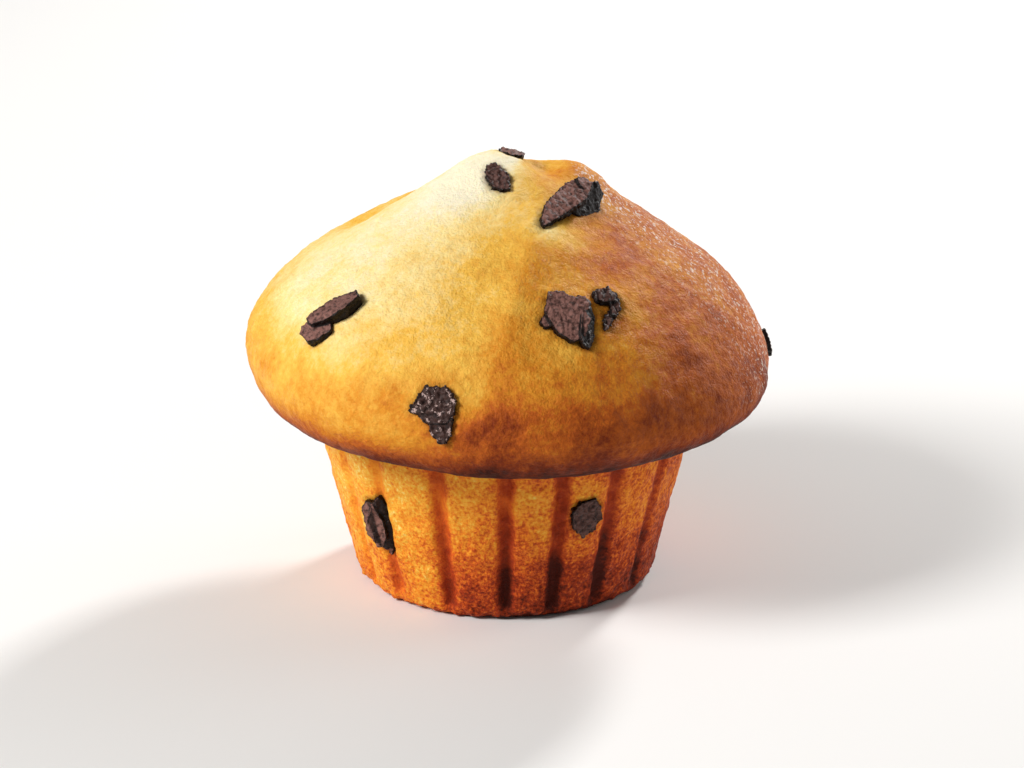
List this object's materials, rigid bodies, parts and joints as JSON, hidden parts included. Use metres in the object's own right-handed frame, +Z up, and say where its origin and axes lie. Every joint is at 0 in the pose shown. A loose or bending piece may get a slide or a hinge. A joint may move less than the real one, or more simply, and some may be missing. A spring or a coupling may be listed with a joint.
{
  "type": "chocolate chunk muffin",
  "caption": "Golden baked muffin with a wide peaked cap over a fluted tapered stump, studded with broken chunks of dark chocolate.",
  "frame": {"origin": "middle of the flat base that the muffin stands on", "axes": "+Z up through the stump towards the peak, -Y towards the front, +X to the right of someone facing the front"},
  "size_m": [0.0894, 0.0899, 0.0733],
  "materials": {
    "crust": "baked golden crust, fine grain, soft uneven sheen, browner at the rim and in the grooves",
    "chocolate": "broken dark chocolate, satin"
  },
  "bodies": {
    "root": {"cake": "crust", "chunk_crown_rear": "chocolate", "chunk_crown_left": "chocolate", "chunk_crown_right": "chocolate", "chunk_cap_left": "chocolate", "chunk_cap_right": "chocolate", "chunk_cap_right_arc": "chocolate", "chunk_cap_front": "chocolate", "chunk_rim_right": "chocolate", "chunk_wall_left": "chocolate", "chunk_wall_right": "chocolate", "chunk_back_high": "chocolate", "chunk_back_left": "chocolate", "chunk_back_middle": "chocolate", "chunk_back_right": "chocolate", "chunk_back_low": "chocolate", "chunk_wall_back": "chocolate", "chunk_wall_back_left": "chocolate"}
  },
  "joints": []
}
